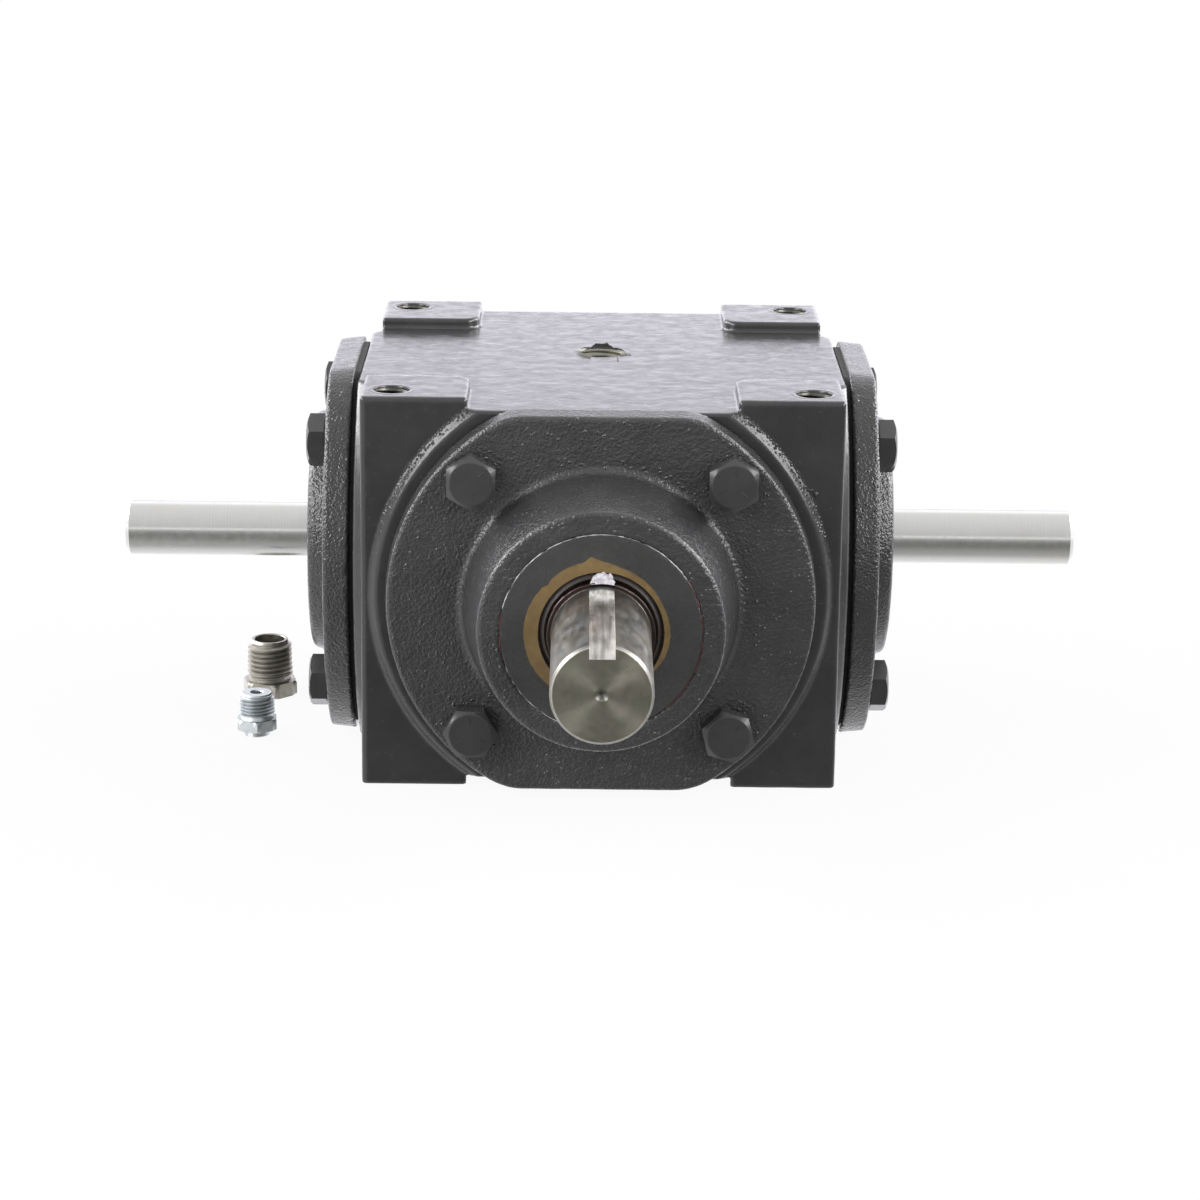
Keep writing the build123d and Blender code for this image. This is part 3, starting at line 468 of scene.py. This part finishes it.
def foot_threads():
    # The darker copy of the tapped iron: painted shade down the holes.
    ridge = helix(FOOT_RADIUS, FOOT_RADIUS - 0.72, FOOT_PITCH, -14.5, -0.9)
    parts = []
    for x, y in FOOT_PLACES:
        parts.append((*ridge, Matrix.Translation((x, y, HOUSING_TOP))))
        parts.append((*ridge, Matrix.Translation((x, y, 0)) @ Matrix.Rotation(math.pi, 4, "X")))
    make_piece("foot_threads", *joined(parts), "case", look=TAPPED_IRON_SHADED)


def hole_rims():
    """The painted edge round each foot hole, and the top of its wall."""
    profile = [(-1.6, FOOT_RADIUS + 0.02), (-0.25, FOOT_RADIUS - 0.02), (-0.02, FOOT_RADIUS + 0.1),
               (0.05, FOOT_RADIUS + 0.4), (0.05, FOOT_RADIUS + 1.3), (-0.06, FOOT_RADIUS + 2.0)]
    rim = lathe(profile, closed=False)
    parts = []
    for x, y in FOOT_PLACES:
        parts.append((*rim, Matrix.Translation((x, y, HOUSING_TOP))))
        parts.append((*rim, Matrix.Translation((x, y, 0)) @ Matrix.Rotation(math.pi, 4, "X")))
    make_piece("foot_hole_rims", *joined(parts), "case", slot="housing_enamel")


def port_threads():
    # The ridges take the lighter copy of the tapped iron and the wall between them the darker copy: painted
    # light and painted shade.
    ridge = helix(PORT_RADIUS, PORT_RADIUS - 0.75, PORT_PITCH, -9.5, -0.05)
    place = Matrix.Translation((*PORT_PLACE, TOP_FACE))
    make_piece("port_threads", *ridge, "case", look=PORT_IRON_LIT, place=place)
    profile = [(-10.4, PORT_RADIUS - 0.03), (-1.0, PORT_RADIUS - 0.03), (-0.3, PORT_RADIUS)]
    wall = lathe(profile, closed=False)
    make_piece("port_wall", *wall, "case", look=TAPPED_IRON_SHADED, place=place)


def bushing():
    """A threaded reducer bushing, standing on its hexagon."""
    flats = 14.2875
    profile = [
        (0.25, 4.35), (0.0, 4.8), (0.0, hexagon(flats, 7.5)), (0.5, hexagon(flats, 8.25)),
        (3.7, hexagon(flats, 8.25)), (4.2, hexagon(flats, 7.5)), (4.2, 6.25), (4.35, 6.05), (6.5, 6.0),
        (6.9, 5.65), (15.1, 5.45), (16.1, 5.3), (16.3, 5.15), (16.3, 4.55), (16.1, 4.35), (8.0, 4.35),
    ]
    body = lathe(profile, 144)
    ridge = helix(5.75, 6.65, PORT_PITCH, 4.7, 15.7, taper=1 / 32)
    turn = Matrix.Translation((*BUSHING_PLACE, 0)) @ Matrix.Rotation(math.radians(14.4), 4, "Z")
    points, faces = joined([(*body, turn), (*ridge, turn)])
    piece = make_piece("threaded_bushing", points, faces, "loose_bushing", slot="bushing_steel")
    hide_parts("reducer_bushing")


def vent():
    """A small zinc-plated breather, standing on its cap."""
    flats = 10.8
    profile = [
        (1.9, 1.6), (1.9, hexagon(flats, 5.7)), (2.2, hexagon(flats, 6.24)), (4.6, hexagon(flats, 6.24)),
        (5.0, hexagon(flats, 5.6)), (5.0, 4.6), (5.5, 4.4), (5.9, 4.25), (11.2, 4.1), (11.9, 4.4),
        (12.3, 4.1), (12.3, 1.9), (12.0, 1.6), (6.0, 1.6),
    ]
    body = lathe(profile, 120)
    ridge = helix(4.3, 5.05, 25.4 / 27, 5.7, 11.5, taper=1 / 32)
    turn = Matrix.Translation((*VENT_PLACE, 0)) @ Matrix.Rotation(math.radians(5.6), 4, "Z")
    points, faces = joined([(*body, turn), (*ridge, turn)])
    piece = make_piece("threaded_vent", points, faces, "loose_vent_plug", slot="zinc_plate")
    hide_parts("vent_plug")


# ---- Paint details -------------------------------------------------------------------------------

def port_paint():
    """The torn skin of paint round the top port, with lifted lips; port_flap adds the jagged flap standing at
    the rear.
    """
    steps, rows = 180, 7
    points = []
    for row in range(rows):
        share = row / (rows - 1)
        for step in range(steps):
            angle = 2 * math.pi * step / steps
            around = (math.cos(angle) * 6, math.sin(angle) * 6, 0)
            ragged = 0.45 + 0.55 * wobble(around, 2.6, 5) + 0.35 * wobble(around, 0.9, 9)
            inner = PORT_RADIUS - max(0.0, ragged) * (0.6 + 0.4 * math.sin(angle))
            outer = PORT_RADIUS + 1.6 + 0.5 * wobble(around, 3.0, 2)
            reach = inner + (outer - inner) * share
            curl = (0.45 + 0.4 * wobble(around, 1.8, 7)) * (0.56 + 0.44 * math.sin(angle))
            rise = 0.02 + curl * (1 - share) ** 2
            points.append((reach * math.cos(angle), reach * math.sin(angle), rise - 0.06 * share ** 4))
    place = Matrix.Translation((*PORT_PLACE, TOP_FACE))
    make_piece("port_paint_skin", points, grid_faces(rows, steps, wrap=True), "case",
               look=TORN_PAINT, place=place)


def port_flap():
    columns, rows = 60, 6
    points = []
    for row in range(rows):
        share = row / (rows - 1)
        for column in range(columns):
            angle = math.radians(48 + 84 * column / (columns - 1))
            across = column / (columns - 1)
            left = 1.7 * max(0, 1 - abs(across - 0.36) / 0.3)
            right = 1.5 * max(0, 1 - abs(across - 0.68) / 0.24)
            jag = 0.25 * wobble((column * 0.35, 0, 0), 1.0, 4)
            rise = max(0.05, left + right + jag) * share - 0.3 * (1 - share)
            reach = PORT_RADIUS - 0.15 - 0.5 * share * share
            reach += 0.15 * wobble((column * 0.4, row * 0.6, 0), 1.0)
            points.append((reach * math.cos(angle), reach * math.sin(angle), rise))
    place = Matrix.Translation((*PORT_PLACE, TOP_FACE))
    faces = grid_faces(rows, columns)
    piece = make_piece("port_paint_flap", points, faces, "case", look=TORN_PAINT, place=place)
    thickness = piece.modifiers.new("thickness", "SOLIDIFY")
    thickness.thickness = 0.12 * MM


# The outer edge of the bare ring round the front seal's lip: angle in degrees, radius.
AMBER_EDGE = [
    (-48, 16.3), (-35, 16.9), (-20, 17.5), (0, 17.7), (25, 17.4), (50, 17.7), (75, 18.1), (90, 19.0),
    (98, 20.4), (104, 19.2), (118, 19.3), (132, 19.1), (137, 18.6), (142, 19.3), (160, 19.7), (180, 19.8),
    (205, 19.7), (225, 19.3), (240, 18.6), (250, 16.4),
]


def table_value(table, x):
    """The table's value at x, straight between its points."""
    for (x0, y0), (x1, y1) in zip(table, table[1:]):
        if x <= x1:
            return y0 + (y1 - y0) * (x - x0) / (x1 - x0)
    return table[-1][1]


def amber_ring():
    """Bare, varnished metal round the seal's lip, where the masked paint stopped."""
    steps, rows = 260, 4
    first, last = AMBER_EDGE[0][0], AMBER_EDGE[-1][0]
    points = []
    for row in range(rows):
        share = row / (rows - 1)
        for step in range(steps + 1):
            degrees = first + (last - first) * step / steps
            angle = math.radians(degrees)
            edge = table_value(AMBER_EDGE, degrees)
            edge += 0.12 * wobble((edge * math.cos(angle), edge * math.sin(angle), 0), 1.1)
            reach = SEAL_LIP + (edge - SEAL_LIP) * share
            height = SEAL_FACE + 0.035 - 0.03 * share
            points.append((reach * math.cos(angle), reach * math.sin(angle), height))
    make_piece("seal_amber_ring", points, grid_faces(rows, steps + 1), "case", look=AMBER, place=FRONT)


def seat_painted_highlight():
    """A raised pale lump on top of the seal seat, climbing from the shaft's shoulder over the seal's lip; its
    pale colour is a painted highlight of the seat's top.
    """
    columns, rows = 60, 22
    points = []
    for row in range(rows):
        share = row / (rows - 1)
        for column in range(columns):
            across = column / (columns - 1)
            side = 1 if across > 0.5 else -1
            half = 12.6 - 6.5 * share ** 2 + 4.0 * wobble((share * 2.6, side * 3.0, 0), 1.0, 3)
            angle = math.radians(89.0 + half * (2 * across - 1))
            swell = min(1.0, 6 * min(across, 1 - across, share, 1 - share))
            lump = 0.30 + 0.22 * wobble((column * 0.35, row * 0.4, 0), 1.0, 6)
            top = 2.1 + 0.8 * wobble((across * 4.0, 0, 0), 1.0, 8)
            reach = SEAT_RADIUS + top * share + swell * lump
            depth = SEAT_END - 2.6 * share + 0.7 * swell * lump
            points.append((reach * math.cos(angle), reach * math.sin(angle), depth))
    make_piece("seat_painted_highlight", points, grid_faces(rows, columns), "slow_shaft", look=PALE_HIGHLIGHT, place=FRONT)


def ribbon(first, last, radius, width, depth, seed):
    """A thin, broken bead round the slow shaft's axis from one angle to another: points and faces."""
    steps = int(abs(last - first) * 2)
    points = []
    for row in range(5):
        share = row / 4
        for step in range(steps + 1):
            angle = math.radians(first + (last - first) * step / steps)
            around = (radius * math.cos(angle), radius * math.sin(angle), seed)
            full = max(0.04, min(1.0, 0.75 + 1.3 * wobble(around, 2.2, seed)))
            reach = radius + width * full * (share - 0.5) + 0.06 * wobble(around, 0.9, seed)
            rise = 0.5 * width * full * (1 - (2 * share - 1) ** 2) - 0.01
            points.append((reach * math.cos(angle), reach * math.sin(angle), depth + rise))
    return points, grid_faces(5, steps + 1)


def seal_seam():
    """Pale, broken strips of painted highlight where the seal's case meets the nose, and old red sealant in
    the joint.
    """
    # Painted highlight: pale strips along the edge of the seal's case.
    highlight_strips = [
        (78, 166, SEAL_EDGE, 0.24, SEAL_FACE, 2.0), (200, 250, SEAL_EDGE, 0.18, SEAL_FACE, 5.0),
        (33, 78, SEAL_EDGE, 0.22, SEAL_FACE, 4.0),
    ]
    red = [
        (-52, 34, SEAL_EDGE, 0.42, SEAL_FACE - 0.02, 7.0), (168, 196, SEAL_EDGE, 0.35, SEAL_FACE, 3.0),
    ]
    for name, strips, look in (("seal_edge_painted_highlight", highlight_strips, PALE_EDGE_HIGHLIGHT), ("seal_red_sealant", red, SEALANT)):
        parts = [(*ribbon(*strip), FRONT) for strip in strips]
        make_piece(name, *joined(parts), "case", look=look)
    smear = ribbon(97, 150, SEAT_RADIUS + 0.15, 0.5, SEAT_END - 0.2, 9.0)
    make_piece("seat_red_smear", *smear, "slow_shaft", look=SEALANT, place=FRONT)


def blot(centre, size, height, seed):
    """A low ragged dome on the XY plane: points and faces. size is its half width along X and Y."""
    rings, steps = 6, 40
    points = []
    for ring in range(rings):
        share = (ring + 0.02) / (rings - 1)
        for step in range(steps):
            angle = 2 * math.pi * step / steps
            around = (2 * math.cos(angle), 2 * math.sin(angle), seed)
            reach = share * (1 + 0.35 * wobble(around, 1.2, seed) + 0.2 * wobble(around, 0.45, seed))
            x = centre[0] + size[0] * reach * math.cos(angle)
            y = centre[1] + size[1] * reach * math.sin(angle)
            rise = height * (1 - share ** 2) + 0.25 * height * wobble((x, y, 0), 0.5, seed)
            points.append((x, y, rise - 0.02 * share ** 6))
    return points, grid_faces(rings, steps, wrap=True)


def port_chips():
    """Loose flakes and a short crack in the paint to the right of the top port."""
    flakes = [
        ((6.6, 5.3), (0.8, 1.4), 0.3, 3.0), ((5.4, 4.0), (0.9, 0.9), 0.3, 4.0),
        ((7.6, 4.9), (0.6, 0.8), 0.12, 6.0), ((4.35, -1.4), (0.26, 3.6), 0.04, 8.0),
    ]
    place = Matrix.Translation((0, 0, TOP_FACE + 0.03))
    parts = [(*blot(*flake), place) for flake in flakes]
    make_piece("port_paint_chips", *joined(parts), "case", look=CHIPPED)


def paint_drips():
    """Beads of paint that ran off the front boss."""
    drips = [
        ((52.6, 29.4), (0.9, 1.3), 0.7, 2.0), ((54.4, 29.5), (1.6, 0.5), 0.5, 5.0),
        ((56.1, 28.4), (0.6, 0.9), 0.45, 7.0),
    ]
    place = FRONT @ Matrix.Translation((0, 0, HOUSING_FRONT))
    parts = [(*blot(*drip), place) for drip in drips]
    make_piece("boss_paint_drips", *joined(parts), "case", slot="cover_enamel")


def bolt_marks():
    """Three raised strokes on each bolt head."""
    stroke = [
        (2.6, -0.2, -0.05), (4.7, -0.2, -0.05), (4.7, 0.2, -0.05), (2.6, 0.2, -0.05),
        (2.7, -0.1, 0.14), (4.6, -0.1, 0.14), (4.6, 0.1, 0.14), (2.7, 0.1, 0.14),
    ]
    faces = [(4, 5, 6, 7), (0, 1, 5, 4), (1, 2, 6, 5), (2, 3, 7, 6), (3, 0, 4, 7)]
    turns = random.Random(11)
    parts = []
    for side, reach in ((FRONT, FLANGE_FACE), (RIGHT, SIDE_FLANGE_FACE), (LEFT, SIDE_FLANGE_FACE)):
        for sx, sy in ((-1, 1), (1, 1), (-1, -1), (1, -1)):
            start = turns.uniform(0, 2 * math.pi)
            for turn in range(3):
                spin = Matrix.Rotation(start + turn * 2 * math.pi / 3, 4, "Z")
                spot = Matrix.Translation((sx * BOLT_OFFSET, sy * BOLT_OFFSET, reach + BOLT_HEAD))
                parts.append((stroke, faces, side @ spot @ spin))
    make_piece("bolt_head_marks", *joined(parts), "case", slot="bolt_enamel")


# Two copies of the same tapped iron: a darker one, painted shade, for the foot holes' threads and the port's
# groove floors, and a lighter one, painted light, for the port's thread ridges.
TAPPED_IRON_SHADED = plain_metal("tapped_iron_painted_shade", (0.13, 0.128, 0.11), (0.06, 0.058, 0.05), 0.36, 0.5, 0.005)
PORT_IRON_LIT = dull_surface("port_iron_painted_light", (0.27, 0.265, 0.22), (0.15, 0.147, 0.12), 0.34, 0.5, 0.005)
# Painted highlight: a pale matt finish for the strips along the seal's edge.
PALE_EDGE_HIGHLIGHT = dull_surface("seal_edge_painted_highlight", (0.62, 0.62, 0.62), (0.10, 0.10, 0.10), 0.30, 0.4, 0.02)
SEALANT = dull_surface("red_sealant", (0.085, 0.018, 0.024), (0.035, 0.014, 0.016), 0.32, 0.5, 0.03)
CHIPPED = dull_surface("chipped_paint", (0.020, 0.020, 0.020), (0.045, 0.043, 0.040), 0.5, 0.5, 0.03)
TORN_PAINT = enamel("torn_paint", (0.055, 0.055, 0.057), 0.30, 0.010, 0.010, 0.006)
AMBER = dull_surface("amber_varnish", (0.150, 0.100, 0.034), (0.100, 0.062, 0.022), 0.42, 0.7, 0.008)
# Painted highlight: the pale colour of the lump on top of the seal seat.
PALE_HIGHLIGHT = dull_surface("pale_painted_highlight", (0.52, 0.52, 0.56), (0.24, 0.20, 0.23), 0.20, 0.35, 0.16)

for node_name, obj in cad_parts.items():
    slots = [material.name for material in obj.data.materials]
    for index, slot_name in enumerate(slots):
        obj.data.materials[index] = LOOKS[slot_name.split(".")[0]]

casting("housing", 0.75, "housing_enamel")
casting("front_cover", 0.75, "cover_enamel")
casting("left_cover", 0.8, "cover_enamel")
casting("right_cover", 0.8, "cover_enamel")
foot_threads()
hole_rims()
port_threads()
port_paint()
port_flap()
bushing()
vent()
amber_ring()
seat_painted_highlight()
seal_seam()
bolt_marks()
port_chips()
paint_drips()


# ---- Studio --------------------------------------------------------------------------------------

# The studio's brightness by angle in the fore-and-aft plane: 0 is level towards the camera, 90 straight up,
# 180 level behind the object and -90 straight down.
STUDIO = [
    (-180, (1.95, 1.92, 2.05)), (-110, (1.20, 1.20, 1.20)), (-88, (1.00, 1.00, 1.00)),
    (-68, (0.60, 0.60, 0.60)), (-50, (0.50, 0.50, 0.49)), (-28, (0.28, 0.28, 0.27)),
    (-10, (0.30, 0.30, 0.29)), (4, (0.60, 0.60, 0.60)), (9, (1.70, 1.70, 1.70)),
    (15, (0.75, 0.75, 0.75)), (30, (0.90, 0.90, 0.90)), (68, (1.05, 1.05, 1.05)),
    (120, (1.20, 1.20, 1.20)), (138, (1.85, 1.85, 1.86)), (150, (1.60, 1.59, 1.65)),
    (160, (1.00, 0.98, 1.09)), (166.8, (1.45, 1.42, 1.58)),
    (169.5, (2.25, 2.21, 2.40)), (180, (2.25, 2.21, 2.40)),
]
STUDIO_PEAK = 2.4
BANK_LIGHT = 12.0
LOW_LIGHT = 1.1
FLOOR_GLOW = 0.965

CAMERA_PLACE = (-0.006105, -0.938267, 0.299863)
CAMERA_LENS = 102.74
CAMERA_YAW = -0.391
CAMERA_PITCH = -15.865
CAMERA_ROLL = 0.744


def studio():
    """Soft light from all round: pale behind, darker round the camera, with a tall soft bank on each side and
    a low pale patch in front on the left."""
    world = bpy.data.worlds.new("studio")
    bpy.context.scene.world = world
    world.use_nodes = True
    tree = world.node_tree
    tree.nodes.clear()

    def add(kind, settings=None):
        node = tree.nodes.new(kind)
        for key, value in (settings or {}).items():
            setattr(node, key, value)
        return node

    def maths(operation, first, second=0.0, third=0.0):
        node = add("ShaderNodeMath", {"operation": operation})
        for socket, value in zip(node.inputs, (first, second, third)):
            if isinstance(value, bpy.types.NodeSocket):
                tree.links.new(value, socket)
            else:
                socket.default_value = value
        return node.outputs[0]

    def rise(value, start, end):
        node = add("ShaderNodeMapRange", {"interpolation_type": "SMOOTHSTEP"})
        tree.links.new(value, node.inputs["Value"])
        node.inputs["From Min"].default_value = start
        node.inputs["From Max"].default_value = end
        return node.outputs["Result"]

    place = add("ShaderNodeTexCoord")
    split = add("ShaderNodeSeparateXYZ")
    tree.links.new(place.outputs["Generated"], split.inputs[0])
    x, y, z = split.outputs
    angle = maths("ARCTAN2", z, maths("MULTIPLY", y, -1.0))
    ramp = add("ShaderNodeValToRGB")
    tree.links.new(maths("MULTIPLY_ADD", angle, 0.5 / math.pi, 0.5), ramp.inputs[0])
    stops = [(degrees / 360 + 0.5, [value / STUDIO_PEAK for value in colour]) for degrees, colour in STUDIO]
    fill_ramp(ramp, stops)
    sideways = maths("ABSOLUTE", x)
    sideways = maths("MULTIPLY", rise(sideways, 0.56, 0.70), rise(sideways, 0.95, 0.86))
    height = maths("MULTIPLY", rise(z, 0.10, 0.28), rise(z, 0.72, 0.58))
    bank = maths("MULTIPLY", maths("MULTIPLY", sideways, height), BANK_LIGHT)
    left = maths("MULTIPLY", rise(x, -0.14, -0.42), rise(y, 0.1, -0.1))
    low = maths("MULTIPLY", maths("MULTIPLY", left, rise(z, 0.12, -0.02)), LOW_LIGHT)
    lights = []
    for strength in (STUDIO_PEAK, maths("ADD", bank, low)):
        lights.append(add("ShaderNodeBackground"))
        if isinstance(strength, bpy.types.NodeSocket):
            tree.links.new(strength, lights[-1].inputs["Strength"])
        else:
            lights[-1].inputs["Strength"].default_value = strength
    tree.links.new(ramp.outputs["Color"], lights[0].inputs["Color"])
    both = add("ShaderNodeAddShader")
    output = add("ShaderNodeOutputWorld")
    tree.links.new(lights[0].outputs[0], both.inputs[0])
    tree.links.new(lights[1].outputs[0], both.inputs[1])
    tree.links.new(both.outputs[0], output.inputs[0])


def floor():
    """A pale floor. It shows only to the camera, because the studio light already holds its bounce."""
    size = 8.0
    mesh = bpy.data.meshes.new("floor")
    corners = [(-size, -size, 0), (size, -size, 0), (size, size, 0), (-size, size, 0)]
    mesh.from_pydata(corners, [], [(0, 1, 2, 3)])
    obj = bpy.data.objects.new("floor", mesh)
    bpy.context.collection.objects.link(obj)
    material = bpy.data.materials.new("pale_floor")
    material.use_nodes = True
    nodes, links = material.node_tree.nodes, material.node_tree.links
    nodes.clear()
    glow = nodes.new("ShaderNodeEmission")
    glow.inputs["Color"].default_value = (FLOOR_GLOW, FLOOR_GLOW, FLOOR_GLOW, 1)
    matt = nodes.new("ShaderNodeBsdfDiffuse")
    matt.inputs["Color"].default_value = (0.85, 0.85, 0.85, 1)
    mix = nodes.new("ShaderNodeMixShader")
    mix.inputs[0].default_value = 0.03
    output = nodes.new("ShaderNodeOutputMaterial")
    links.new(glow.outputs[0], mix.inputs[1])
    links.new(matt.outputs[0], mix.inputs[2])
    links.new(mix.outputs[0], output.inputs["Surface"])
    mesh.materials.append(material)
    obj.visible_glossy = False
    obj.visible_diffuse = False
    obj.visible_shadow = False


def camera():
    data = bpy.data.cameras.new("camera")
    data.lens = CAMERA_LENS
    data.sensor_width = 36.0
    data.clip_start, data.clip_end = 0.01, 30.0
    obj = bpy.data.objects.new("camera", data)
    bpy.context.collection.objects.link(obj)
    yaw = Matrix.Rotation(math.radians(CAMERA_YAW), 4, "Z")
    pitch = Matrix.Rotation(math.radians(90 + CAMERA_PITCH), 4, "X")
    roll = Matrix.Rotation(math.radians(CAMERA_ROLL), 4, "Z")
    obj.matrix_world = Matrix.Translation(CAMERA_PLACE) @ yaw @ pitch @ roll
    bpy.context.scene.camera = obj


studio()
floor()
camera()
bpy.context.scene.view_settings.view_transform = "Standard"
